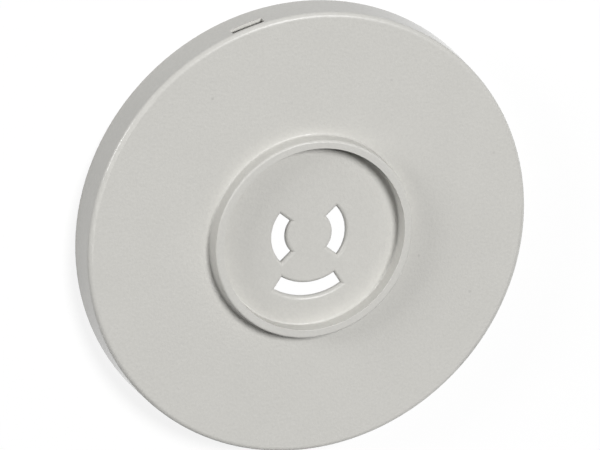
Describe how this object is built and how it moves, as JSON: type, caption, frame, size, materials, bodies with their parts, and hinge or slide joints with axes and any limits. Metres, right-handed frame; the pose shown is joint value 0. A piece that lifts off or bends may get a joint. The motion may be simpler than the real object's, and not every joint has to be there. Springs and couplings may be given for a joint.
{
  "type": "ceiling outlet cover",
  "caption": "Round moulded cover plate for a ceiling outlet, with a shallow skirt, a raised collar round a recess, curved slots in its floor and a pry slot in the rim.",
  "frame": {"origin": "centre of the back rim's plane, where the cover meets the ceiling", "axes": "+Z out of the face along the cover's axis; the lower slot lies towards -Y and the side slots towards +X and -X"},
  "size_m": [0.11, 0.11, 0.0125],
  "materials": {
    "cover_plastic": "light warm grey moulded plastic, satin, with a fine spark-eroded grain on the face and recess floor"
  },
  "bodies": {
    "root": {"cover": "cover_plastic"}
  },
  "joints": []
}
